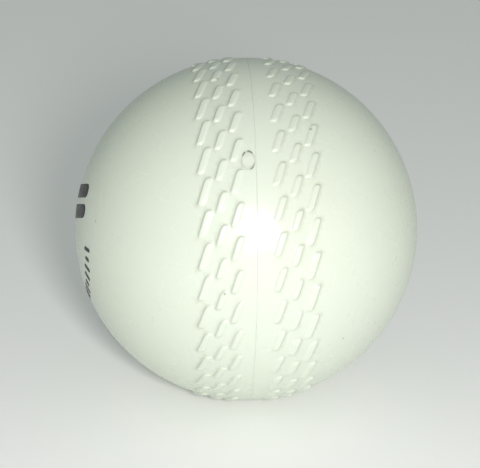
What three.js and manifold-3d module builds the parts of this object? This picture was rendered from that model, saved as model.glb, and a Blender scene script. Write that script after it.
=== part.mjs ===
// Moulded training cricket ball.
//
// Two hollow half shells meet on the parting plane. The left shell's tongue enters the right shell's
// groove, a ring of solvent cement holds it there, and a plug closes the vent beside the joint. The
// stitches are raised pads moulded on the shells, three rows on each.
//
// Frame: millimetres, +Z up, origin at the ball's centre. The ball's axis is X and the parting plane
// is X = 0. A point on the ball has an offset, its arc length from the parting plane (positive
// towards +X), and a turn, its angle about the axis, from 0 at the front (-Y) up over the top (+Z).

import * as THREE from "three";
import { mergeVertices } from "three/addons/utils/BufferGeometryUtils.js";
import Module from "manifold-3d";

const wasm = await Module();
wasm.setup();

// Shells
const BALL_RADIUS = 36; // plain outer surface
const WALL = 5.5; // thickness of the moulded wall
const PARTING_GAP = 0.06; // between the two rims
const TURN_STEPS = 48; // facets round the axis
const ARC_STEPS = 12; // facets from rim to pole

// Joint
const TONGUE_THICKNESS = 1.8;
const TONGUE_LENGTH = 3;
const TONGUE_CLEARANCE = 0.15; // on each side of the tongue
const CEMENT_THICKNESS = 0.8; // along the axis, past the tongue's tip
const CEMENT_CLEARANCE = 0.1; // round the cement ring

// Vent
const PLUG_RADIUS = 1.25;
const PLUG_TAPER = 0.25; // how much narrower its inner end is
const PLUG_CLEARANCE = 0.1; // round the plug in its hole
const PLUG_PROUD = 0.1; // how far its head stands out of the ball
const PLUG_INSIDE = 0.5; // how far its inner end stands into the hollow
const VENT_OFFSET = -1.5;
const VENT_TURN = THREE.MathUtils.degToRad(41.7);
const PLUG_SIDES = 16;

// Stitches
const STITCH_WIDTH = 1.34;
const STITCH_HEIGHT = 0.35;
const STITCH_ROOT = 1; // how far a pad reaches into the wall
const STITCH_SLANT = THREE.MathUtils.degToRad(17);
const CORNER_CUT = 0.4; // on a pad's two sharp corners
const LEFT_PITCH = 6.65;
const RIGHT_PITCH = 7.07;
const INNER_LENGTH = 4.65; // the row nearest the parting plane
const MIDDLE_LENGTH = 4;
const OUTER_LENGTH = 5.3;
const LEFT_ROWS = [
  { offset: -3.74, startDeg: 13.8, length: INNER_LENGTH },
  { offset: -6.84, startDeg: 17.9, length: MIDDLE_LENGTH },
  { offset: -10.19, startDeg: 21.6, length: OUTER_LENGTH },
];
const RIGHT_ROWS = [
  { offset: 4.59, startDeg: 15, length: INNER_LENGTH },
  { offset: 7.97, startDeg: 22.5, length: MIDDLE_LENGTH },
  { offset: 11.41, startDeg: 18.8, length: OUTER_LENGTH },
];

// What follows from them
const HOLLOW_RADIUS = BALL_RADIUS - WALL;
const RIM = PARTING_GAP / 2;
const TONGUE_MIDDLE = BALL_RADIUS - WALL / 2;
const GROOVE_THICKNESS = TONGUE_THICKNESS + 2 * TONGUE_CLEARANCE;
const GROOVE_DEPTH = TONGUE_LENGTH + CEMENT_THICKNESS + CEMENT_CLEARANCE;
const HOLE_RADIUS = PLUG_RADIUS + PLUG_CLEARANCE;

function shellPlastic() {
  return new THREE.MeshStandardMaterial({ color: "#ecf3e2", roughness: 0.25, metalness: 0 });
}

function cementResin() {
  return new THREE.MeshStandardMaterial({ color: "#d8d4bf", roughness: 0.4, metalness: 0 });
}

function plugPlastic() {
  return new THREE.MeshStandardMaterial({ color: "#e2e9d8", roughness: 0.35, metalness: 0 });
}

// A geometry as a solid that can be joined and cut.
function solid(geometry) {
  const bare = geometry.clone();
  bare.deleteAttribute("normal");
  bare.deleteAttribute("uv");
  const merged = mergeVertices(bare, 1e-4);
  const vertProperties = merged.attributes.position.array;
  const triVerts = new Uint32Array(merged.index.array);
  return new wasm.Manifold(new wasm.Mesh({ numProp: 3, vertProperties, triVerts }));
}

// A solid as a named mesh.
function meshOf(made, material, name) {
  const { vertProperties, triVerts } = made.getMesh();
  const geometry = new THREE.BufferGeometry();
  geometry.setAttribute("position", new THREE.BufferAttribute(vertProperties, 3));
  geometry.setIndex(new THREE.BufferAttribute(triVerts, 1));
  geometry.computeVertexNormals();
  const mesh = new THREE.Mesh(geometry, material);
  mesh.name = name;
  return mesh;
}

// The place and frame of a point on the ball: x runs to larger offset, y to larger turn, z outwards.
function placeOnBall(offset, turn, radius) {
  const latitude = offset / BALL_RADIUS;
  const across = new THREE.Vector3(
    Math.cos(latitude),
    Math.sin(latitude) * Math.cos(turn),
    -Math.sin(latitude) * Math.sin(turn),
  );
  const along = new THREE.Vector3(0, Math.sin(turn), Math.cos(turn));
  const outwards = new THREE.Vector3().crossVectors(across, along);
  const place = new THREE.Matrix4().makeBasis(across, along, outwards);
  return place.setPosition(outwards.clone().multiplyScalar(radius));
}

// Points of a quarter circle as (distance from the axis, distance along it), from the rim plane to
// the pole.
function quarter(radius) {
  const start = Math.asin(RIM / radius);
  return Array.from({ length: ARC_STEPS + 1 }, (_, i) => {
    const angle = start + ((Math.PI / 2 - start) * i) / ARC_STEPS;
    const fromAxis = i === ARC_STEPS ? 0 : radius * Math.cos(angle);
    return new THREE.Vector2(fromAxis, radius * Math.sin(angle));
  });
}

// One half shell, opening towards -Y. Its rim carries a tongue where reach is negative, or a groove
// where it is positive.
function bareShell(thickness, reach) {
  const inner = TONGUE_MIDDLE - thickness / 2;
  const outer = TONGUE_MIDDLE + thickness / 2;
  const profile = [
    ...quarter(HOLLOW_RADIUS).reverse(),
    new THREE.Vector2(inner, RIM),
    new THREE.Vector2(inner, reach),
    new THREE.Vector2(outer, reach),
    new THREE.Vector2(outer, RIM),
    ...quarter(BALL_RADIUS),
  ];
  return new THREE.LatheGeometry(profile, TURN_STEPS);
}

// A leaning pad with level ends and its two sharp corners cut.
function stitchOutline(length) {
  const end = length / 2;
  const side = STITCH_WIDTH / 2;
  const lean = end * Math.tan(STITCH_SLANT);
  return new THREE.Shape([
    new THREE.Vector2(-lean - side + CORNER_CUT, -end),
    new THREE.Vector2(-lean + side, -end),
    new THREE.Vector2(lean + side, end - CORNER_CUT),
    new THREE.Vector2(lean + side - CORNER_CUT, end),
    new THREE.Vector2(lean - side, end),
    new THREE.Vector2(-lean - side, -end + CORNER_CUT),
  ]);
}

function stitchPad(row, turn) {
  const depth = STITCH_HEIGHT + STITCH_ROOT;
  const pad = new THREE.ExtrudeGeometry(stitchOutline(row.length), { depth, bevelEnabled: false });
  return pad.applyMatrix4(placeOnBall(row.offset, turn, BALL_RADIUS - STITCH_ROOT));
}

function addStitches(shell, rows, pitch) {
  const count = Math.round((2 * Math.PI * BALL_RADIUS) / pitch);
  let stitched = shell;
  for (const row of rows) {
    const start = THREE.MathUtils.degToRad(row.startDeg);
    for (let i = 0; i < count; i += 1) {
      stitched = stitched.add(solid(stitchPad(row, start + (2 * Math.PI * i) / count)));
    }
  }
  return stitched;
}

// The hole bored for the vent, through the wall and the joint beside it.
function ventHole() {
  const hole = new THREE.CylinderGeometry(HOLE_RADIUS, HOLE_RADIUS, 2 * WALL, PLUG_SIDES);
  hole.rotateX(Math.PI / 2);
  return solid(hole.applyMatrix4(placeOnBall(VENT_OFFSET, VENT_TURN, BALL_RADIUS - WALL / 2)));
}

function leftShell() {
  const shell = bareShell(TONGUE_THICKNESS, -TONGUE_LENGTH).rotateZ(Math.PI / 2);
  const stitched = addStitches(solid(shell), LEFT_ROWS, LEFT_PITCH);
  return meshOf(stitched.subtract(ventHole()), shellPlastic(), "left_shell");
}

function rightShell() {
  const shell = bareShell(GROOVE_THICKNESS, GROOVE_DEPTH).rotateZ(-Math.PI / 2);
  const stitched = addStitches(solid(shell), RIGHT_ROWS, RIGHT_PITCH);
  return meshOf(stitched.subtract(ventHole()), shellPlastic(), "right_shell");
}

// The cement that fills the groove's end, past the tongue's tip.
function cementRing() {
  const near = TONGUE_LENGTH + CEMENT_CLEARANCE;
  const far = near + CEMENT_THICKNESS - CEMENT_CLEARANCE;
  const inner = TONGUE_MIDDLE - TONGUE_THICKNESS / 2;
  const outer = TONGUE_MIDDLE + TONGUE_THICKNESS / 2;
  const profile = [
    new THREE.Vector2(inner, near),
    new THREE.Vector2(outer, near),
    new THREE.Vector2(outer, far),
    new THREE.Vector2(inner, far),
    new THREE.Vector2(inner, near),
  ];
  const ring = new THREE.LatheGeometry(profile, TURN_STEPS).rotateZ(-Math.PI / 2);
  return meshOf(solid(ring), cementResin(), "cement_ring");
}

// A tapered plug with a chamfered inner end.
function ventPlug() {
  const top = WALL + PLUG_PROUD;
  const tip = PLUG_RADIUS - PLUG_TAPER;
  const profile = [
    new THREE.Vector2(0, -PLUG_INSIDE),
    new THREE.Vector2(tip - PLUG_INSIDE / 2, -PLUG_INSIDE),
    new THREE.Vector2(tip, 0),
    new THREE.Vector2(PLUG_RADIUS, top),
    new THREE.Vector2(0, top),
  ];
  const plug = new THREE.LatheGeometry(profile, PLUG_SIDES).rotateX(Math.PI / 2);
  plug.applyMatrix4(placeOnBall(VENT_OFFSET, VENT_TURN, HOLLOW_RADIUS));
  return meshOf(solid(plug), plugPlastic(), "vent_plug");
}

const ball = new THREE.Group();
ball.add(leftShell());
ball.add(rightShell());
ball.add(cementRing());
ball.add(ventPlug());

export default ball;
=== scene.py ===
"""Moulded training cricket ball: a hollow ball with raised stitches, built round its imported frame.

The ball's axis is X and its parting plane is X = 0. A point on its surface has an offset, its arc
length from the parting plane (positive towards +X), and a turn, its angle about the axis, from 0 at
the front (-Y) up over the top (+Z). An arc length along the parting line is called along.
"""

import math
import random

import bmesh
import bpy
from bpy.props import FloatProperty, FloatVectorProperty, PointerProperty, StringProperty
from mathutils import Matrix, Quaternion, Vector, noise
from mathutils.geometry import delaunay_2d_cdt


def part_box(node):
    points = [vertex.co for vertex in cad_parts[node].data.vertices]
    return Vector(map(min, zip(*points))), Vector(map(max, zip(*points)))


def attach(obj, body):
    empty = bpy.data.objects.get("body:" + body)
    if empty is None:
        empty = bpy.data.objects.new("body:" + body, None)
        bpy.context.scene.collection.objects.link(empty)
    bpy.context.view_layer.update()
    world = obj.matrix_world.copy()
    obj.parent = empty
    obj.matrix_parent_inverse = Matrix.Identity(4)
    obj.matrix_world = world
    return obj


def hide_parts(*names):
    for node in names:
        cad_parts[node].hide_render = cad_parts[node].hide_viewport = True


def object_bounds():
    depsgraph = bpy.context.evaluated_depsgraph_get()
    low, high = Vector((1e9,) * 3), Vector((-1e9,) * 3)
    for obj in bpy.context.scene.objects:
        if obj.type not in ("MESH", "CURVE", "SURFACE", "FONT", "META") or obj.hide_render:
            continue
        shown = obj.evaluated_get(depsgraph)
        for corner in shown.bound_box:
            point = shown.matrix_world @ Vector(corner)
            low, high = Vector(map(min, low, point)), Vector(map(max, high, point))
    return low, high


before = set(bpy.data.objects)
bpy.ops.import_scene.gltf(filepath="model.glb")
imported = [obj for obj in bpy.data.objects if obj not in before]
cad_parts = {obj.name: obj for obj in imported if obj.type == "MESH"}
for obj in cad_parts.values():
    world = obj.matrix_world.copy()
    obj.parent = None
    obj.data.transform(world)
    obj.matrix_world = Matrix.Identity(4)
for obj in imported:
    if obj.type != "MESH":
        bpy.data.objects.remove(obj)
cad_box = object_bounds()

bl_info = {
    "name": "Moulded cricket ball",
    "version": (1, 0, 0),
    "blender": (4, 5, 0),
    "location": "3D View > Sidebar > Ball",
    "description": "Builds a hollow moulded cricket ball with raised stitches round its packed frame",
    "category": "Add Mesh",
}

MM = 0.001
BODY = "root"
LEFT, RIGHT = -1, 1
SHELL_NODES = {LEFT: "left_shell", RIGHT: "right_shell"}

# A stitch's flank from foot to top, as shares of its width and of the stitch's height
FLANK = ((0, 0), (0.12, 0.03), (0.26, 0.18), (0.5, 0.52), (0.72, 0.83), (0.87, 0.96), (1, 1))
TOP_SHARES = (0.35, 0.75, 1.0)  # rings on a stitch's top, from the flank to the ridge
CROWN = 0.05  # how much higher the ridge is than the top's edge, as a share of the height
CORNER_LOSS = 0.12 * MM  # how much smaller the corners' radii get towards the top
SMALLEST_CORNER = 0.02 * MM
CORNER_STEPS = 5  # chords in each round corner of an outline
STITCH_LONG_STEPS = 5  # chords along a stitch's side, between its corners
STITCH_SHORT_STEPS = 1  # chords along its end
RING_SHARE = 8  # points of a full ring for each stitch of a row
RIM_LEDGE = 0.02 * MM  # from the rim's round edge to the skin's first ring
EDGE_MARGIN = 0.45 * MM  # between the seam's net and its border rings
NET_SPACING = 0.68 * MM  # between the net's own points
NET_CLEARANCE = 0.32 * MM  # between them and an outline
NET_JITTER = 0.07 * MM  # how far they are moved, so that no four lie on one circle
NET_ROW = 0.87  # between its rows, as a share of its spacing
NET_OVERLAP = 1 / 12  # how far the net passes both ends of a turn, as a share of it
CAP_SPACING = 1.15 * MM  # between the plain part's rings
CAP_CHORD = 0.45 * MM  # between a ring's points before every second one is left out
WAVE_LENGTH = 14 * MM  # of the skin's waviness
HOLLOW_STEPS = 12  # rings from the inner rim to the inner pole
HOLE_POINTS = 32
HOLE_MOUTH = ((0.02 * MM, 0.012 * MM), (0.03 * MM, 0.05 * MM))  # inset and depth of its round edge
# Painted shade on the vent hole's walls, where the gap round the plug is in shade
HOLE_SHADE = 0.6
WELD = 1e-3 * MM  # points nearer than this are one
STITCH_SEED, NET_SEED = 7, 11

# The vent plug: rings of its head as (share of its size, lift in thicknesses, curl, painted shade), from
# the middle over the edge to the underside, and its stem
PLUG_POINTS = 64
HEAD_MIDDLE = 1.2  # lift of its middle, in thicknesses
HEAD_RINGS = (
    (0.3, 1.15, 0, 0),
    (0.6, 1.1, 0, 0),
    (0.78, 1, 0.12, 0),
    (0.86, 1, 0.5, 0.9),
    (0.985, 0.9, 1, 0.8),
    (1, 0.5, 0.9, 1),
    (0.97, 0.2, 0.5, 1),
)
RAGGED = 0.05  # how far the head's outline strays, as a share
# Painted shade on the head's edge, where it lifts from the skin and its gap is in shade
HEAD_EDGE_SHADE = (0.15, 1.35)  # on its smooth and on its torn edge
STEM_INSET = 0.03 * MM
STEM_NECK = (-0.004 * MM, 0.1 * MM)  # depths of the stem's first two rings
STEM_TAPER = 0.1 * MM
STEM_END = (2.35 * MM, 2.4 * MM)  # depths of its last ring and its tip

# The printed mark, measured from the left pole along the skin
BAR_HEIGHTS = (4.0 * MM, 8.3 * MM)
BAR_HALF = (12.2 * MM, 1.45 * MM)  # half of a bar's length and width
BAR_STEPS = 24
DASHES = 17
DASH_REACH = 13.8 * MM
DASH_START, DASH_SWEEP = -163, 146  # degrees
LONG_DASH, SHORT_DASH = 1.35 * MM, 0.9 * MM  # half lengths
DASH_HALF_WIDTH = 0.42 * MM
DASH_STEPS = 4
FILM_SHARES = (0.75, 0.4, 0.0)  # rings on a film's faces, from the edge to the middle line

# Lights and floor
KEY_DIRECTION, KEY_DISTANCE = (0.1, -0.01, 0.995), 0.46  # to the camera's right, up and back
FILL_DIRECTION, FILL_DISTANCE, FILL_RADIUS = (0.85, -0.05, 0.52), 0.6, 0.16
FLOOR_RADIUS = 3.0
FLOOR_POINTS = 96


# Sizes and colours that a user would change


class BallShellSettings(bpy.types.PropertyGroup):
    radius: FloatProperty(
        name="Radius", description="Of the plain surface",
        default=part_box("right_shell")[1].x, unit="LENGTH", precision=5,
    )
    wall: FloatProperty(
        name="Wall", description="Thickness of the moulded wall",
        default=5.5 * MM, unit="LENGTH", precision=5,
    )
    parting_gap: FloatProperty(
        name="Parting gap", description="Between the two rims",
        default=0.012 * MM, unit="LENGTH", precision=6,
    )
    rim_round: FloatProperty(
        name="Rim round", description="Radius of the rims' outer edges",
        default=0.025 * MM, unit="LENGTH", precision=6,
    )
    tongue_thickness: FloatProperty(
        name="Tongue thickness", description="Of the left shell's tongue",
        default=1.8 * MM, unit="LENGTH", precision=5,
    )
    tongue_length: FloatProperty(
        name="Tongue length", description="How far the tongue crosses the parting plane",
        default=3 * MM, unit="LENGTH", precision=5,
    )
    tongue_clearance: FloatProperty(
        name="Tongue clearance", description="On each side of the tongue in its groove",
        default=0.15 * MM, unit="LENGTH", precision=6,
    )
    cement_space: FloatProperty(
        name="Cement space", description="From the tongue's tip to the groove's end",
        default=0.9 * MM, unit="LENGTH", precision=5,
    )
    waviness: FloatProperty(
        name="Waviness", description="How far the moulded skin sinks and swells",
        default=0.02 * MM, unit="LENGTH", precision=6,
    )


class BallStitchSettings(bpy.types.PropertyGroup):
    width: FloatProperty(
        name="Width", description="Of a stitch, half way up its flanks",
        default=1.34 * MM, unit="LENGTH", precision=5,
    )
    height: FloatProperty(
        name="Height", description="Of the middle of a stitch above the plain surface",
        default=0.31 * MM, unit="LENGTH", precision=5,
    )
    ramp: FloatProperty(
        name="Ramp", default=0.25,
        description="How much higher a stitch is on the side away from the parting line",
    )
    flank: FloatProperty(
        name="Flank", description="Width of a stitch's sloping side, with its rounds",
        default=0.6 * MM, unit="LENGTH", precision=5,
    )
    sharp_corner: FloatVectorProperty(
        name="Sharp corner", description="Radii of a stitch's two sharp corners, across and along",
        default=(0.36 * MM, 0.6 * MM), size=2, unit="LENGTH", precision=5,
    )
    blunt_corner: FloatVectorProperty(
        name="Blunt corner", description="Radii of a stitch's two blunt corners, across and along",
        default=(0.5 * MM, 1.1 * MM), size=2, unit="LENGTH", precision=5,
    )
    slant: FloatProperty(
        name="Slant", description="Lean of a stitch from the parting line",
        default=math.radians(17), subtype="ANGLE",
    )
    unevenness: FloatProperty(
        name="Unevenness", description="How far a stitch strays from its neighbours' shape",
        default=0.03 * MM, unit="LENGTH", precision=6,
    )
    left_pitch: FloatProperty(
        name="Left pitch", description="Between the left rows' stitches along the parting line",
        default=6.65 * MM, unit="LENGTH", precision=5,
    )
    right_pitch: FloatProperty(
        name="Right pitch", description="Between the right rows' stitches along the parting line",
        default=7.07 * MM, unit="LENGTH", precision=5,
    )
    lengths: FloatVectorProperty(
        name="Lengths", description="Of the stitches in the inner, middle and outer rows",
        default=(4.65 * MM, 4 * MM, 5.3 * MM), size=3, unit="LENGTH", precision=5,
    )
    left_offsets: FloatVectorProperty(
        name="Left offsets", description="Of the inner, middle and outer rows on the left shell",
        default=(-3.74 * MM, -6.84 * MM, -10.19 * MM), size=3, unit="LENGTH", precision=5,
    )
    right_offsets: FloatVectorProperty(
        name="Right offsets", description="Of the inner, middle and outer rows on the right shell",
        default=(4.59 * MM, 7.97 * MM, 11.41 * MM), size=3, unit="LENGTH", precision=5,
    )
    left_starts: FloatVectorProperty(
        name="Left starts", description="Turns of the left rows' first stitches",
        default=[math.radians(t) for t in (13.8, 17.9, 21.6)], size=3, subtype="EULER",
    )
    right_starts: FloatVectorProperty(
        name="Right starts", description="Turns of the right rows' first stitches",
        default=[math.radians(t) for t in (15, 22.5, 18.8)], size=3, subtype="EULER",
    )
    band_margin: FloatProperty(
        name="Band margin", description="From the outer row's middle to the plain part's first ring",
        default=3 * MM, unit="LENGTH", precision=5,
    )


class BallPlugSettings(bpy.types.PropertyGroup):
    radius: FloatProperty(
        name="Radius", description="Of the plug's head",
        default=1.25 * MM, unit="LENGTH", precision=5,
    )
    clearance: FloatProperty(
        name="Clearance", description="Round the plug in its hole",
        default=0.1 * MM, unit="LENGTH", precision=6,
    )
    depth: FloatProperty(
        name="Depth", description="Of the hole as far as it is modelled",
        default=2.6 * MM, unit="LENGTH", precision=5,
    )
    head: FloatVectorProperty(
        name="Head", description="Half the head's width and length",
        default=(1.36 * MM, 2.15 * MM), size=2, unit="LENGTH", precision=5,
    )
    head_thickness: FloatProperty(
        name="Head thickness", description="Of the head where it lies flat on the skin",
        default=0.035 * MM, unit="LENGTH", precision=6,
    )
    curl: FloatProperty(
        name="Curl", description="How far the head's torn edge stands up",
        default=0.13 * MM, unit="LENGTH", precision=6,
    )
    offset: FloatProperty(
        name="Offset", description="Of the plug from the parting plane",
        default=-1.5 * MM, unit="LENGTH", precision=5,
    )
    turn: FloatProperty(
        name="Turn", description="Of the plug about the ball's axis",
        default=math.radians(41.7), subtype="ANGLE",
    )


class BallPrintSettings(bpy.types.PropertyGroup):
    film: FloatProperty(
        name="Film", description="Thickness of the ink",
        default=0.03 * MM, unit="LENGTH", precision=6,
    )
    lift: FloatProperty(
        name="Lift", description="From the shell's skin to the film's underside",
        default=0.03 * MM, unit="LENGTH", precision=6,
    )
    turn: FloatProperty(
        name="Turn", description="Direction of the mark's right-hand end, about the ball's axis",
        default=math.radians(20), subtype="ANGLE",
    )
    ink: StringProperty(name="Ink", description="Colour of the ink, sRGB", default="#16181a")
    worn_ink: StringProperty(name="Worn ink", description="Where it is rubbed, sRGB", default="#6d716b")


class BallFinishSettings(bpy.types.PropertyGroup):
    skin: StringProperty(name="Skin", description="Colour of the plastic, sRGB", default="#d1dacd")
    warm_skin: StringProperty(
        name="Warm skin", description="Where the plastic has yellowed a little, sRGB",
        default="#d0d8c7",
    )
    # Grime is the darker tone in the cement's patches and the colour of the painted shade round the
    # stitches
    grime_and_shade: StringProperty(
        name="Grime", description="Dust held round the stitches, sRGB", default="#a9ad97",
    )
    # The speck colour is also the colour of the painted shade on the plug's edge
    speck: StringProperty(
        name="Speck", description="Dirt pressed into the skin, sRGB", default="#6b6f5f",
    )
    cement: StringProperty(
        name="Cement", description="Colour of the set cement, sRGB", default="#d8d4bf",
    )
    # How much painted shade the stitches' feet and steep flanks get
    shade_amount: FloatProperty(name="Dust", description="How much dust the stitches hold", default=0.6)
    # How dark the painted shade on the plug's torn edge and neck is
    plug_edge_shade: FloatProperty(name="Plug dirt", description="How dirty the plug's edge is", default=1.2)


class BallStageSettings(bpy.types.PropertyGroup):
    distance: FloatProperty(
        name="Camera distance", description="From the ball's centre",
        default=0.437, unit="LENGTH", precision=4,
    )
    azimuth: FloatProperty(
        name="Azimuth", description="Of the camera, from the front towards +X",
        default=math.radians(-3.71), subtype="ANGLE",
    )
    elevation: FloatProperty(
        name="Elevation", description="Of the camera above the horizon",
        default=math.radians(20), subtype="ANGLE",
    )
    roll: FloatProperty(
        name="Roll", description="Of the camera, anticlockwise",
        default=math.radians(0.73), subtype="ANGLE",
    )
    lens: FloatProperty(name="Lens", description="Focal length in millimetres", default=155.1)
    shift: FloatVectorProperty(
        name="Shift", description="Of the lens, as shares of the picture's width",
        default=(-0.0129, -0.01125), size=2,
    )
    key_power: FloatProperty(name="Key power", description="Of the front light, in watts", default=1.75)
    fill_power: FloatProperty(
        name="Fill power", description="Of the soft light on the right, in watts", default=0.15,
    )
    key_radius: FloatProperty(
        name="Key radius", description="Of the front light's disc",
        default=0.03, unit="LENGTH", precision=4,
    )
    room: FloatProperty(name="Room", description="Brightness of the room round the ball", default=0.36)
    lamp_colour: StringProperty(name="Lamp colour", description="Of both lights, sRGB", default="#fffafa")
    room_colour: StringProperty(name="Room colour", description="Of the room, sRGB", default="#f6fffb")
    floor: StringProperty(name="Floor", description="Colour of the floor, sRGB", default="#fafbfa")
    floor_glow: FloatProperty(
        name="Floor glow", description="Light through the floor's white sheet", default=0.05,
    )


class BallSettings(bpy.types.PropertyGroup):
    shell: PointerProperty(type=BallShellSettings)
    stitch: PointerProperty(type=BallStitchSettings)
    plug: PointerProperty(type=BallPlugSettings)
    mark: PointerProperty(type=BallPrintSettings)
    finish: PointerProperty(type=BallFinishSettings)
    stage: PointerProperty(type=BallStageSettings)


# Places on the ball


def direction(latitude, turn):
    across = math.cos(latitude)
    return Vector((math.sin(latitude), -across * math.cos(turn), across * math.sin(turn)))


def on_ball(radius, offset, along, height=0.0):
    """The point at an offset and an arc length along the parting line, at a height above the skin."""
    return direction(offset / radius, along / radius) * (radius + height)


def swell(point, amount):
    """A point moved out or in by the slow waviness of a moulded skin."""
    return point + point.normalized() * amount * noise.noise(point / WAVE_LENGTH)


def bump(middle_deg, half_deg):
    """A function of an angle that is 1 in the middle of a span and falls to 0 at its ends."""

    def height(angle):
        away = abs((math.degrees(angle) - middle_deg + 180) % 360 - 180) / half_deg
        return max(0.0, 1 - away**4)

    return height


# Where the plug's head was torn as it was trimmed: over its top, on its upper left, on its lower right
TORN_EDGES = (bump(72, 32), bump(134, 20), bump(-48, 34))


# Outlines


def leaning_outline(half_width, half_length, corners, lean, long_steps, short_steps):
    """A closed outline with round corners, anticlockwise, always with the same number of points.

    corners holds the radii of the sharp and the blunt corners, each across and along the shape.
    """
    half_width = max(half_width, 0.0)
    radii = []
    for across, along in (*corners, *corners):
        fitting = min(1.0, half_width / across, half_length / along)
        radii.append((across * fitting, along * fitting))
    signs = ((1, 1), (-1, 1), (-1, -1), (1, -1))
    steps = (short_steps, long_steps, short_steps, long_steps)

    def on_corner(number, angle):
        (sign_x, sign_y), (across, along) = signs[number % 4], radii[number % 4]
        x = sign_x * (half_width - across) + across * math.cos(angle)
        y = sign_y * (half_length - along) + along * math.sin(angle)
        return x, y

    points = []
    for quarter in range(4):
        for i in range(CORNER_STEPS + 1):
            points.append(on_corner(quarter, (quarter + i / CORNER_STEPS) * math.pi / 2))
        angle = (quarter + 1) * math.pi / 2
        (start_x, start_y), (end_x, end_y) = on_corner(quarter, angle), on_corner(quarter + 1, angle)
        for i in range(1, steps[quarter]):
            share = i / steps[quarter]
            x = start_x + (end_x - start_x) * share
            points.append((x, start_y + (end_y - start_y) * share))
    return [(x + lean * y, y) for x, y in points]


# Meshes


class Net:
    """Points and faces on their way to one mesh, with a painted shade value for each point."""

    def __init__(self):
        self.points = []
        self.faces = []
        self.recess = []

    def add(self, points, recess=0.0):
        """The numbers of new points, whose painted shade is one value or a list of them."""
        first = len(self.points)
        self.points.extend(points)
        self.recess.extend(recess if isinstance(recess, list) else [recess] * len(points))
        return list(range(first, len(self.points)))

    def strip(self, outer, inner):
        """Quads between two closed rings of as many points."""
        count = len(outer)
        for i in range(count):
            j = (i + 1) % count
            self.faces.append((outer[i], outer[j], inner[j], inner[i]))

    def halve(self, outer, inner):
        """Faces between a closed ring and one with half as many points."""
        count = len(inner)
        for i in range(count):
            j = (i + 1) % count
            first, middle, last = outer[2 * i], outer[2 * i + 1], outer[(2 * i + 2) % len(outer)]
            self.faces.append((first, middle, inner[i]))
            self.faces.append((middle, last, inner[j], inner[i]))

    def fan(self, ring, tip):
        for i, point in enumerate(ring):
            self.faces.append((point, ring[(i + 1) % len(ring)], tip))

    def mesh(self, name):
        """One closed smooth mesh, with its faces pointing out."""
        made = bmesh.new()
        layer = made.verts.layers.float.new("recess")
        for point, recess in zip(self.points, self.recess):
            made.verts.new(point)[layer] = recess
        made.verts.ensure_lookup_table()
        for face in self.faces:
            made.faces.new([made.verts[i] for i in dict.fromkeys(face)])
        bmesh.ops.remove_doubles(made, verts=made.verts, dist=WELD)
        bmesh.ops.dissolve_degenerate(made, edges=made.edges, dist=WELD)
        bmesh.ops.recalc_face_normals(made, faces=made.faces)
        open_edges = sum(not edge.is_manifold for edge in made.edges)
        if open_edges:
            raise RuntimeError(f"{name} has {open_edges} open edges")
        mesh = bpy.data.meshes.new(name)
        made.to_mesh(mesh)
        made.free()
        mesh.shade_smooth()
        return mesh


def show(mesh, name, material):
    """A mesh as a piece of the ball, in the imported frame."""
    piece = bpy.data.objects.new(name, mesh)
    bpy.context.scene.collection.objects.link(piece)
    mesh.materials.append(material)
    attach(piece, BODY)
    return piece


# The seam's net: outlines of stitches and of the vent's hole, joined by triangles


def seam_triangles(loops, loose, borders, around):
    """Triangles that join the loops, the loose points and the border rings, once round the ball.

    loops and borders hold lists of (offset, along) points. Returns triples of point numbers, counted
    through the loops, then the borders, then the loose points. The net is made a little longer than
    the way round, with copies at both ends, and each triangle is kept once.
    """
    flat = [point for loop in loops + borders for point in loop] + loose
    owner = [n for n, loop in enumerate(loops) for _ in loop]
    owner += [None] * (len(flat) - len(owner))
    margin = around * NET_OVERLAP
    laps = (-1, 0, 1)
    places, source, copies = [], [], {}
    for number, (offset, along) in enumerate(flat):
        for lap in laps:
            moved = along + lap * around
            if -margin <= moved < around + margin:
                copies[number, lap] = len(places)
                places.append(Vector((offset / MM, moved / MM)))
                source.append(number)
    edges = []
    start = 0
    for loop in loops:
        for i in range(len(loop)):
            ends = start + i, start + (i + 1) % len(loop)
            for lap in laps:
                if all((end, lap) in copies for end in ends):
                    edges.append(tuple(copies[end, lap] for end in ends))
        start += len(loop)
    verts, _, faces, orig, _, _ = delaunay_2d_cdt(places, edges, [], 0, 1e-7)
    triangles = []
    for face in faces:
        middle = sum(verts[i].y for i in face) / 3
        if not 0 <= middle * MM < around:
            continue
        numbers = [source[orig[i][0]] for i in face]
        if owner[numbers[0]] is not None and len({owner[n] for n in numbers}) == 1:
            continue
        triangles.append(numbers)
    return triangles


def across_stitch(settings, x, y):
    """How far a point stands from a stitch's leaning middle line."""
    return x - math.tan(settings.slant) * y


def stitch_rings(settings, length, row_cos):
    """The outlines of one stitch from its foot to its ridge, as (outline, height, painted shade)."""
    half_width = settings.width / 2
    half_length = length / 2 / row_cos
    top = settings.flank / 2
    # Each flank ring carries painted shade: full at the foot, none at the top
    rings = [
        ((share - 0.5) * settings.flank, rise * settings.height, 1 - share) for share, rise in FLANK
    ]
    for share in TOP_SHARES:
        rings.append((top + share * (half_width - top), settings.height * (1 + CROWN * share), 0.0))
    outlines = []
    for inset, height, recess in rings:
        less = min(inset, CORNER_LOSS)
        pairs = settings.sharp_corner, settings.blunt_corner
        corners = [[max(radius - less, SMALLEST_CORNER) for radius in pair] for pair in pairs]
        outline = leaning_outline(
            half_width - inset, half_length - inset, corners, math.tan(settings.slant),
            STITCH_LONG_STEPS, STITCH_SHORT_STEPS,
        )
        outlines.append((outline, height, recess))
    return outlines


def painted_flank_shade(settings, side, outline):
    """The painted shade on an outline's points: most on the steep side, away from the parting line,
    standing in for the shade on that side.
    """
    shares = [0.5 + side * across_stitch(settings, x, y) / settings.width for x, y in outline]
    return [min(max(share, 0.0), 1.0) for share in shares]


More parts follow.
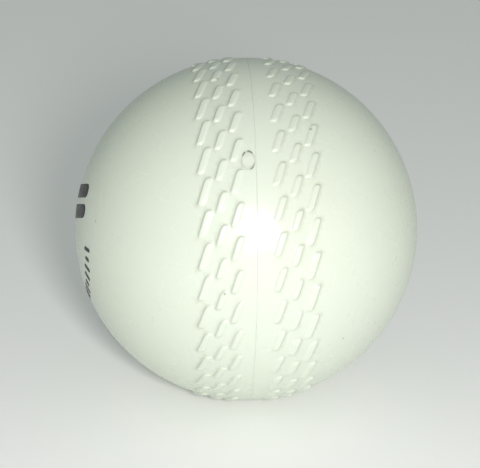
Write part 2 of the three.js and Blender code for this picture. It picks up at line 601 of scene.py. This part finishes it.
def loose_points(low, high, around, blocked, seed):
    """Points on a jittered triangular grid between two offsets, where blocked allows them."""
    draw = random.Random(seed)
    rows = round((high - low) / (NET_SPACING * NET_ROW))
    count = round(around / NET_SPACING)
    points = []
    for row in range(rows + 1):
        for i in range(count):
            offset = low + (high - low) * row / rows + draw.uniform(-NET_JITTER, NET_JITTER)
            along = (i + 0.5 * (row % 2)) * around / count + draw.uniform(-NET_JITTER, NET_JITTER)
            if not blocked(offset, along):
                points.append((offset, along % around))
    return points


def seam_rows(settings, side):
    """Each row as (offset, first stitch's turn, length)."""
    offsets = settings.left_offsets if side == LEFT else settings.right_offsets
    starts = settings.left_starts if side == LEFT else settings.right_starts
    return list(zip(offsets, starts, settings.lengths))


def build_shell(settings, side):
    """A half shell: its stitched band, plain cap, rim with tongue or groove, and hollow."""
    shell, stitch, plug = settings.shell, settings.stitch, settings.plug
    radius = shell.radius
    around = 2 * math.pi * radius
    rows = seam_rows(stitch, side)
    count = round(around / (stitch.left_pitch if side == LEFT else stitch.right_pitch))
    pitch = around / count
    ring_points = RING_SHARE * count
    near = side * (shell.parting_gap / 2 + shell.rim_round + RIM_LEDGE)
    far = side * (abs(rows[-1][0]) + stitch.band_margin)
    draw = random.Random(STITCH_SEED + side)
    net = Net()

    stitches = []
    for offset, start, length in rows:
        rings = stitch_rings(stitch, length, math.cos(offset / radius))
        for i in range(count):
            along = (start * radius + around * i / count) % around
            stitches.append((offset, along, rings))
    loops = [
        [(offset + x, along + y) for x, y in rings[0][0]] for offset, along, rings in stitches
    ]
    # Painted shade round each stitch's foot, heaviest on its steep side
    loop_shades = [painted_flank_shade(stitch, side, rings[0][0]) for _, _, rings in stitches]
    hole_radius = plug.radius + plug.clearance
    hole_along = plug.turn * radius
    if side == LEFT:
        circle = [2 * math.pi * i / HOLE_POINTS for i in range(HOLE_POINTS)]
        loops.append([
            (plug.offset + hole_radius * math.cos(a), hole_along + hole_radius * math.sin(a))
            for a in circle
        ])
        # Full painted shade round the hole's mouth
        loop_shades.append(1.0)
    borders = [
        [(place, around * i / ring_points) for i in range(ring_points)] for place in (near, far)
    ]
    room = stitch.flank / 2 + NET_CLEARANCE

    def blocked(offset, along):
        """Whether a place is on or too near a stitch or the vent's hole."""
        for row_offset, start, length in rows:
            up = (along - start * radius + pitch / 2) % pitch - pitch / 2
            across = across_stitch(stitch, offset - row_offset, up)
            half_length = length / 2 / math.cos(row_offset / radius)
            if abs(across) < stitch.width / 2 + room and abs(up) < half_length + room:
                return True
        to_hole = math.hypot(offset - plug.offset, along - hole_along)
        return side == LEFT and to_hole < hole_radius + NET_CLEARANCE

    low, high = sorted((near, far))
    loose = loose_points(low + EDGE_MARGIN, high - EDGE_MARGIN, around, blocked, NET_SEED + side)
    triangles = seam_triangles(loops, loose, borders, around)

    def skin(offset, along, height=0.0):
        return swell(on_ball(radius, offset, along, height), shell.waviness)

    loop_rings = [
        net.add([skin(*point) for point in loop], shade_amount) for loop, shade_amount in zip(loops, loop_shades)
    ]
    near_ring, far_ring = [net.add([skin(*point) for point in border]) for border in borders]
    net.add([skin(*point) for point in loose])
    net.faces.extend(triangles)

    for (offset, along, rings), foot in zip(stitches, loop_rings):
        stray = [draw.uniform(-1, 1) * stitch.unevenness for _ in range(3)]
        outer = foot
        for outline, height, recess in rings[1:]:
            share = min(height / stitch.height, 1)
            moved = []
            for x, y in outline:
                ramp = 1 + stitch.ramp * side * across_stitch(stitch, x, y) / (stitch.width / 2)
                rise = (height + stray[2] * share) * ramp
                moved.append(skin(offset + x + stray[0] * share, along + y + stray[1] * share, rise))
            # Painted shade up the flanks, fading to none at the top
            shade_amount = [recess * held for held in painted_flank_shade(stitch, side, outline)]
            inner = net.add(moved, shade_amount)
            net.strip(outer, inner)
            outer = inner
    if side == LEFT:
        bore(net, loop_rings[-1], plug, radius, skin)
    plain_cap(net, far_ring, side, far, radius, shell.waviness)
    rim_and_hollow(net, near_ring, shell, side)
    return net


def bore(net, mouth, plug, radius, skin):
    """The vent's hole, from its mouth on the skin to its modelled end."""
    axis = direction(plug.offset / radius, plug.turn)
    outer = mouth
    for inset, depth in (*HOLE_MOUTH, (HOLE_MOUTH[-1][0], plug.depth)):
        reach = plug.radius + plug.clearance - inset
        ring = []
        for i in range(HOLE_POINTS):
            angle = 2 * math.pi * i / HOLE_POINTS
            across, up = reach * math.cos(angle), reach * math.sin(angle)
            ring.append(skin(plug.offset + across, plug.turn * radius + up) - axis * depth)
        # Painted shade down the hole's walls
        inner = net.add(ring, recess=HOLE_SHADE)
        net.strip(outer, inner)
        outer = inner
    net.fan(outer, net.add([axis * (radius - plug.depth)])[0])


def plain_cap(net, ring, side, start, radius, waviness):
    """The plain skin from the stitched band to the pole, thinned out as its rings shrink."""
    outer = ring
    count = len(ring)
    offset = abs(start)
    end = math.pi / 2 * radius
    steps = round((end - offset) / CAP_SPACING)
    for i in range(1, steps):
        latitude = (offset + (end - offset) * i / steps) / radius
        chord = 2 * math.pi * radius * math.cos(latitude) / count
        thinned = count % 2 == 0 and chord < CAP_CHORD
        if thinned:
            count //= 2
        turns = [2 * math.pi * j / count for j in range(count)]
        inner = net.add([swell(direction(side * latitude, t) * radius, waviness) for t in turns])
        if thinned:
            net.halve(outer, inner)
        else:
            net.strip(outer, inner)
        outer = inner
    net.fan(outer, net.add([swell(Vector((side * radius, 0, 0)), waviness)])[0])


def rim_and_hollow(net, ring, shell, side):
    """The rim's round edge, its tongue or groove, and the hollow inside, ring by ring."""
    radius = shell.radius
    rim = shell.parting_gap / 2
    middle = radius - shell.wall / 2
    if side == LEFT:
        half, reach = shell.tongue_thickness / 2, -shell.tongue_length
    else:
        half = shell.tongue_thickness / 2 + shell.tongue_clearance
        reach = shell.tongue_length + shell.cement_space
    hollow = radius - shell.wall
    edge = shell.rim_round
    profile = [
        (rim + edge * (1 - math.sin(a)), radius - edge * (1 - math.cos(a)))
        for a in (math.pi / 6, math.pi / 3, math.pi / 2)
    ]
    profile += [(rim, middle + half), (reach, middle + half)]
    profile += [(reach, middle - half), (rim, middle - half)]
    start = math.asin(rim / hollow)
    for i in range(HOLLOW_STEPS):
        angle = start + (math.pi / 2 - start) * i / HOLLOW_STEPS
        profile.append((hollow * math.sin(angle), hollow * math.cos(angle)))
    turns = [2 * math.pi * i / len(ring) for i in range(len(ring))]
    outer = ring
    for along_axis, from_axis in profile:
        points = [
            Vector((side * along_axis, -from_axis * math.cos(t), from_axis * math.sin(t)))
            for t in turns
        ]
        inner = net.add(points)
        net.strip(outer, inner)
        outer = inner
    net.fan(outer, net.add([Vector((side * hollow, 0, 0))])[0])


def build_plug(settings):
    """The vent's plug: a flattened head with a torn edge, and a tapered stem."""
    plug, radius = settings.plug, settings.shell.radius
    axis = direction(plug.offset / radius, plug.turn)
    turns = [2 * math.pi * i / PLUG_POINTS for i in range(PLUG_POINTS)]
    torn = [max(torn_edge(t) for torn_edge in TORN_EDGES) for t in turns]
    thick = plug.head_thickness

    def head(share, lift, curl):
        """A ring of the head, as a share of its size, over the skin."""
        points = []
        for t, tear in zip(turns, torn):
            ragged = 1 + RAGGED * share * noise.noise(Vector((math.cos(t), math.sin(t), 0)) * 3)
            across = plug.head[0] * share * ragged * math.cos(t)
            up = plug.head[1] * share * ragged * math.sin(t)
            height = lift * thick + curl * plug.curl * tear
            point = on_ball(radius, plug.offset + across, plug.turn * radius + up, height)
            points.append(swell(point, settings.shell.waviness))
        return points

    def stem(reach, depth):
        centre = axis * (radius - depth)
        up = direction(plug.offset / radius, plug.turn + math.pi / 2)
        up = (up - axis * up.dot(axis)).normalized()
        across = up.cross(axis)
        return [centre + (across * math.cos(t) + up * math.sin(t)) * reach for t in turns]

    net = Net()
    outer = None
    middle = net.add([axis * (radius + HEAD_MIDDLE * thick)])[0]
    # Painted shade along the head's edge, darkest where it is torn and curled up
    for share, lift, curl, edge_shade in HEAD_RINGS:
        smooth, ripped = HEAD_EDGE_SHADE
        inner = net.add(head(share, lift, curl), [edge_shade * (smooth + ripped * tear) for tear in torn])
        if outer:
            net.strip(outer, inner)
        else:
            net.fan(inner, middle)
        outer = inner
    last, tip = STEM_END
    # The stem's neck, in the hole's gap, gets full painted shade
    rings = [(plug.radius - STEM_INSET, depth, 1.0) for depth in STEM_NECK]
    for reach, depth, recess in (*rings, (plug.radius - STEM_TAPER, last, 0.0)):
        inner = net.add(stem(reach, depth), recess)
        net.strip(outer, inner)
        outer = inner
    net.fan(outer, net.add([axis * (radius - tip)])[0])
    return net


def film(net, place, mark, spot, angle, half_length, half_width, steps):
    """A bar of ink with round ends, lying on the skin at a spot and an angle."""
    rings = [(1.0, mark.lift), (1.0, mark.lift + mark.film)]
    rings += [(share, mark.lift + mark.film) for share in FILM_SHARES]
    cos, sin = math.cos(angle), math.sin(angle)
    corner = (half_width * 0.9, half_width * 0.9)

    def ring(share, height):
        inset = half_width * (1 - share)
        outline = leaning_outline(
            half_width - inset, half_length - inset, (corner, corner), 0.0, steps, STITCH_SHORT_STEPS,
        )
        points = []
        for across, along in outline:
            x = spot[0] + along * cos + across * sin
            y = spot[1] + along * sin - across * cos
            points.append(place(x, y, height))
        return net.add(points)

    outer = ring(*rings[0])
    under = outer
    for share, height in rings[1:]:
        inner = ring(share, height)
        net.strip(outer, inner)
        outer = inner
    for share in FILM_SHARES:
        inner = ring(share, mark.lift)
        net.strip(inner, under)
        under = inner


def build_mark(settings):
    """The plain mark round the left pole: two bars over an arc of dashes."""
    mark, radius = settings.mark, settings.shell.radius
    right = direction(0, mark.turn)
    up = direction(0, mark.turn + math.pi / 2)

    def place(x, y, height):
        reach = math.hypot(x, y)
        aside = (right * x + up * y) / max(reach, 1e-9)
        angle = reach / radius
        out = Vector((-math.cos(angle), 0, 0)) + aside * math.sin(angle)
        return swell(out * radius, settings.shell.waviness) + out * height

    net = Net()
    for y in BAR_HEIGHTS:
        film(net, place, mark, (0, y), 0.0, *BAR_HALF, BAR_STEPS)
    for i in range(DASHES):
        angle = math.radians(DASH_START + DASH_SWEEP * i / (DASHES - 1))
        half = LONG_DASH if i % 3 else SHORT_DASH
        spot = (DASH_REACH * math.cos(angle), DASH_REACH * math.sin(angle))
        film(net, place, mark, spot, angle, half, DASH_HALF_WIDTH, DASH_STEPS)
    return net


# Materials


def linear(hex_colour):
    """An sRGB hex colour as linear red, green, blue and alpha."""
    channels = [int(hex_colour[i : i + 2], 16) / 255 for i in (1, 3, 5)]
    return [c / 12.92 if c <= 0.04045 else ((c + 0.055) / 1.055) ** 2.4 for c in channels] + [1.0]


def add_node(tree, kind, inputs=None, **settings):
    """A node with its settings, and each input set to a value or linked to another node's output."""
    node = tree.nodes.new(kind)
    for name, value in settings.items():
        setattr(node, name, value)
    for key, value in (inputs or {}).items():
        if isinstance(value, bpy.types.NodeSocket):
            tree.links.new(value, node.inputs[key])
        else:
            node.inputs[key].default_value = value
    return node


def new_material(name):
    """A material with a Principled shader, and its object coordinates in metres."""
    material = bpy.data.materials.new(name)
    material.use_nodes = True
    tree = material.node_tree
    shader = tree.nodes["Principled BSDF"]
    place = add_node(tree, "ShaderNodeTexCoord").outputs["Object"]
    return material, tree, shader, place


def mix_colour(tree, factor, first, second):
    """The output of a colour mix, whose colours are its inputs 6 and 7."""
    inputs = {0: factor, 6: first, 7: second}
    return add_node(tree, "ShaderNodeMix", inputs, data_type="RGBA").outputs[2]


def noise_value(tree, place, size, detail=2.0):
    """A noise from 0 to 1 with patches of a real size."""
    inputs = {"Vector": place, "Scale": 1 / size, "Detail": detail}
    return add_node(tree, "ShaderNodeTexNoise", inputs).outputs["Fac"]


def times(tree, first, second):
    return add_node(tree, "ShaderNodeMath", {0: first, 1: second}, operation="MULTIPLY").outputs[0]


def rescaled(tree, value, before, after, **settings):
    """A value moved from one range to another and held inside it."""
    inputs = {0: value, 1: before[0], 2: before[1], 3: after[0], 4: after[1]}
    return add_node(tree, "ShaderNodeMapRange", inputs, **settings).outputs[0]


def bumped(tree, height, distance, strength, normal=None):
    """The normal of a relief of a real height."""
    inputs = {"Height": height, "Distance": distance, "Strength": strength}
    if normal:
        inputs["Normal"] = normal
    return add_node(tree, "ShaderNodeBump", inputs).outputs["Normal"]


def pvc_material(name, finish, shade_colour, shade_share):
    """Plasticised PVC, injection moulded in a polished tool: a smooth, slightly waxy gloss with faint
    orange peel, a little yellowing, painted shade round the stitches, the vent's hole and the plug's
    edge, and odd specks of dirt."""
    material, tree, shader, place = new_material(name)
    cloud = noise_value(tree, place, 24 * MM, 3.0)
    colour = mix_colour(tree, cloud, linear(finish.skin), linear(finish.warm_skin))

    # Painted shade: each point's shade value, broken into blotches, darkens the colour towards the shade
    # colour
    recess = add_node(tree, "ShaderNodeAttribute", attribute_name="recess").outputs["Fac"]
    shade_amount = times(tree, times(tree, recess, noise_value(tree, place, 3 * MM)), shade_share)
    colour = mix_colour(tree, shade_amount, colour, linear(shade_colour))

    # At most one speck, half a millimetre wide, in each cell of 6 mm, and none in most cells
    cells = add_node(tree, "ShaderNodeTexVoronoi", {"Vector": place, "Scale": 1 / (6 * MM)})
    near = rescaled(tree, cells.outputs["Distance"], (0.03, 0.06), (1.0, 0.0))
    split = add_node(tree, "ShaderNodeSeparateColor", {"Color": cells.outputs["Color"]})
    inputs = {0: split.outputs["Red"], 1: 0.6}
    chosen = add_node(tree, "ShaderNodeMath", inputs, operation="GREATER_THAN").outputs[0]
    speck = times(tree, times(tree, near, chosen), 0.55)
    colour = mix_colour(tree, speck, colour, linear(finish.speck))
    tree.links.new(colour, shader.inputs["Base Color"])

    # Gloss that handling has dulled in patches
    rub = noise_value(tree, place, 9 * MM)
    gloss = rescaled(tree, rub, (0.2, 0.8), (0.26, 0.3), interpolation_type="SMOOTHSTEP")
    tree.links.new(gloss, shader.inputs["Roughness"])

    # Orange peel, with a finer grain over it
    peel = bumped(tree, noise_value(tree, place, 1.6 * MM), 0.008 * MM, 0.3)
    grain = bumped(tree, noise_value(tree, place, 0.3 * MM), 0.004 * MM, 0.5, peel)
    tree.links.new(grain, shader.inputs["Normal"])
    shader.inputs["IOR"].default_value = 1.53
    shader.inputs["Subsurface Weight"].default_value = 0.15
    shader.inputs["Subsurface Radius"].default_value = (1.0, 1.0, 0.7)
    shader.inputs["Subsurface Scale"].default_value = 0.8 * MM
    return material


def cement_material(finish):
    """Solvent cement, set in the joint: a dull, slightly bubbled resin."""
    material, tree, shader, place = new_material("set_solvent_cement")
    cloud = noise_value(tree, place, 4 * MM, 3.0)
    colour = mix_colour(tree, cloud, linear(finish.cement), linear(finish.grime_and_shade))
    tree.links.new(colour, shader.inputs["Base Color"])
    bubbles = add_node(tree, "ShaderNodeTexVoronoi", {"Vector": place, "Scale": 1 / (0.8 * MM)})
    relief = bumped(tree, bubbles.outputs["Distance"], 0.05 * MM, 0.5)
    tree.links.new(relief, shader.inputs["Normal"])
    shader.inputs["Roughness"].default_value = 0.45
    return material


def ink_material(mark):
    """Pad-printed solvent ink: a thin satin black film, rubbed a little greyer in patches."""
    material, tree, shader, place = new_material("pad_printed_ink")
    rubbed = noise_value(tree, place, 0.9 * MM, 4.0)
    worn = rescaled(tree, rubbed, (0.55, 0.8), (0.0, 0.35))
    colour = mix_colour(tree, worn, linear(mark.ink), linear(mark.worn_ink))
    tree.links.new(colour, shader.inputs["Base Color"])
    gloss = rescaled(tree, rubbed, (0.3, 0.7), (0.32, 0.5))
    tree.links.new(gloss, shader.inputs["Roughness"])
    return material


def floor_material(stage):
    """Cast white acrylic sheet, rubbed matt and lit a little from below: plain and pale."""
    material, _, shader, _ = new_material("matt_acrylic_sheet")
    shader.inputs["Base Color"].default_value = linear(stage.floor)
    shader.inputs["Roughness"].default_value = 0.8
    shader.inputs["Specular IOR Level"].default_value = 0.1
    shader.inputs["Emission Color"].default_value = linear(stage.floor)
    shader.inputs["Emission Strength"].default_value = stage.floor_glow
    return material


# Operators


class BALL_OT_half_shells(bpy.types.Operator):
    """Make the two moulded half shells with their stitches, tongue and groove"""

    bl_idname = "ball.half_shells"
    bl_label = "Half shells"

    def execute(self, context):
        settings = context.scene.cricket_ball
        finish = settings.finish
        # The grime colour is the colour of the painted shade round the stitches
        material = pvc_material("moulded_plasticised_pvc", finish, finish.grime_and_shade, finish.shade_amount)
        for side, node in SHELL_NODES.items():
            mesh = build_shell(settings, side).mesh(f"{node}_skin")
            piece = show(mesh, f"{node}_moulded", material)
            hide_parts(node)
        return {"FINISHED"}


class BALL_OT_cement_ring(bpy.types.Operator):
    """Give the cement ring in the joint its finish"""

    bl_idname = "ball.cement_ring"
    bl_label = "Cement ring"

    def execute(self, context):
        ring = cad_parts["cement_ring"]
        material = cement_material(context.scene.cricket_ball.finish)
        ring.data.materials.clear()
        ring.data.materials.append(material)
        return {"FINISHED"}


class BALL_OT_vent_plug(bpy.types.Operator):
    """Make the plug that closes the vent, with its flattened and trimmed head"""

    bl_idname = "ball.vent_plug"
    bl_label = "Vent plug"

    def execute(self, context):
        settings = context.scene.cricket_ball
        net = build_plug(settings)
        finish = settings.finish
        # The speck colour is used here for the painted shade on the plug's edge
        material = pvc_material("trimmed_pvc_plug", finish, finish.speck, finish.plug_edge_shade)
        piece = show(net.mesh("vent_plug_skin"), "vent_plug_trimmed", material)
        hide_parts("vent_plug")
        return {"FINISHED"}


class BALL_OT_printed_mark(bpy.types.Operator):
    """Print the plain mark round the left pole: two bars and an arc of dashes"""

    bl_idname = "ball.printed_mark"
    bl_label = "Printed mark"

    def execute(self, context):
        settings = context.scene.cricket_ball
        net = build_mark(settings)
        material = ink_material(settings.mark)
        show(net.mesh("printed_mark_film"), "printed_mark", material)
        return {"FINISHED"}


class BALL_OT_stage(bpy.types.Operator):
    """Set the floor, the lights and the camera"""

    bl_idname = "ball.stage"
    bl_label = "Stage"

    def execute(self, context):
        scene = context.scene
        stage = scene.cricket_ball.stage
        floor = floor_mesh(cad_box[0].z)
        scene.collection.objects.link(floor)
        floor.data.materials.append(floor_material(stage))

        back = Vector((
            math.sin(stage.azimuth) * math.cos(stage.elevation),
            -math.cos(stage.azimuth) * math.cos(stage.elevation),
            math.sin(stage.elevation),
        ))
        turned = (-back).to_track_quat("-Z", "Y")
        lens = bpy.data.cameras.new("camera")
        lens.sensor_width = 36
        lens.lens = stage.lens
        lens.shift_x, lens.shift_y = stage.shift
        lens.clip_start, lens.clip_end = 0.01, 20
        camera = bpy.data.objects.new("camera", lens)
        camera.rotation_mode = "QUATERNION"
        camera.location = back * stage.distance
        camera.rotation_quaternion = Quaternion(back, stage.roll) @ turned
        scene.collection.objects.link(camera)
        scene.camera = camera

        aside, up = turned @ Vector((1, 0, 0)), turned @ Vector((0, 1, 0))
        colour = linear(stage.lamp_colour)[:3]

        def lamp_place(parts, distance):
            return (aside * parts[0] + up * parts[1] + back * parts[2]) * distance

        key_place = lamp_place(KEY_DIRECTION, KEY_DISTANCE)
        add_lamp(scene, "key", key_place, stage.key_radius, stage.key_power, colour)
        fill_place = lamp_place(FILL_DIRECTION, FILL_DISTANCE)
        add_lamp(scene, "fill", fill_place, FILL_RADIUS, stage.fill_power, colour)
        world = bpy.data.worlds.new("room")
        world.use_nodes = True
        background = world.node_tree.nodes["Background"]
        background.inputs["Color"].default_value = linear(stage.room_colour)
        background.inputs["Strength"].default_value = stage.room
        scene.world = world
        scene.view_settings.view_transform = "Standard"
        return {"FINISHED"}


def add_lamp(scene, name, place, radius, power, colour):
    """A round area lamp that faces the ball."""
    lamp = bpy.data.lights.new(name, "AREA")
    lamp.shape = "DISK"
    lamp.size = 2 * radius
    lamp.energy = power
    lamp.color = colour
    holder = bpy.data.objects.new(name, lamp)
    holder.location = place
    holder.rotation_mode = "QUATERNION"
    holder.rotation_quaternion = (-place).to_track_quat("-Z", "Y")
    scene.collection.objects.link(holder)


def floor_mesh(height):
    """A round floor at the height that the ball rests on."""
    made = bmesh.new()
    bmesh.ops.create_circle(made, cap_ends=True, segments=FLOOR_POINTS, radius=FLOOR_RADIUS)
    mesh = bpy.data.meshes.new("floor")
    made.to_mesh(mesh)
    made.free()
    floor = bpy.data.objects.new("floor", mesh)
    floor.location.z = height
    return floor


class BALL_PT_panel(bpy.types.Panel):
    """Buttons for the ball's pieces and its stage"""

    bl_label = "Moulded cricket ball"
    bl_idname = "BALL_PT_panel"
    bl_space_type = "VIEW_3D"
    bl_region_type = "UI"
    bl_category = "Ball"

    def draw(self, context):
        for operator in OPERATORS:
            self.layout.operator(operator.bl_idname)


OPERATORS = (
    BALL_OT_half_shells,
    BALL_OT_cement_ring,
    BALL_OT_vent_plug,
    BALL_OT_printed_mark,
    BALL_OT_stage,
)
CLASSES = (
    BallShellSettings,
    BallStitchSettings,
    BallPlugSettings,
    BallPrintSettings,
    BallFinishSettings,
    BallStageSettings,
    BallSettings,
    *OPERATORS,
    BALL_PT_panel,
)


def register():
    for cls in CLASSES:
        bpy.utils.register_class(cls)
    bpy.types.Scene.cricket_ball = PointerProperty(type=BallSettings)


def unregister():
    del bpy.types.Scene.cricket_ball
    for cls in reversed(CLASSES):
        bpy.utils.unregister_class(cls)


def main():
    register()
    bpy.ops.ball.half_shells()
    bpy.ops.ball.cement_ring()
    bpy.ops.ball.vent_plug()
    bpy.ops.ball.printed_mark()
    bpy.ops.ball.stage()


if __name__ == "__main__":
    main()
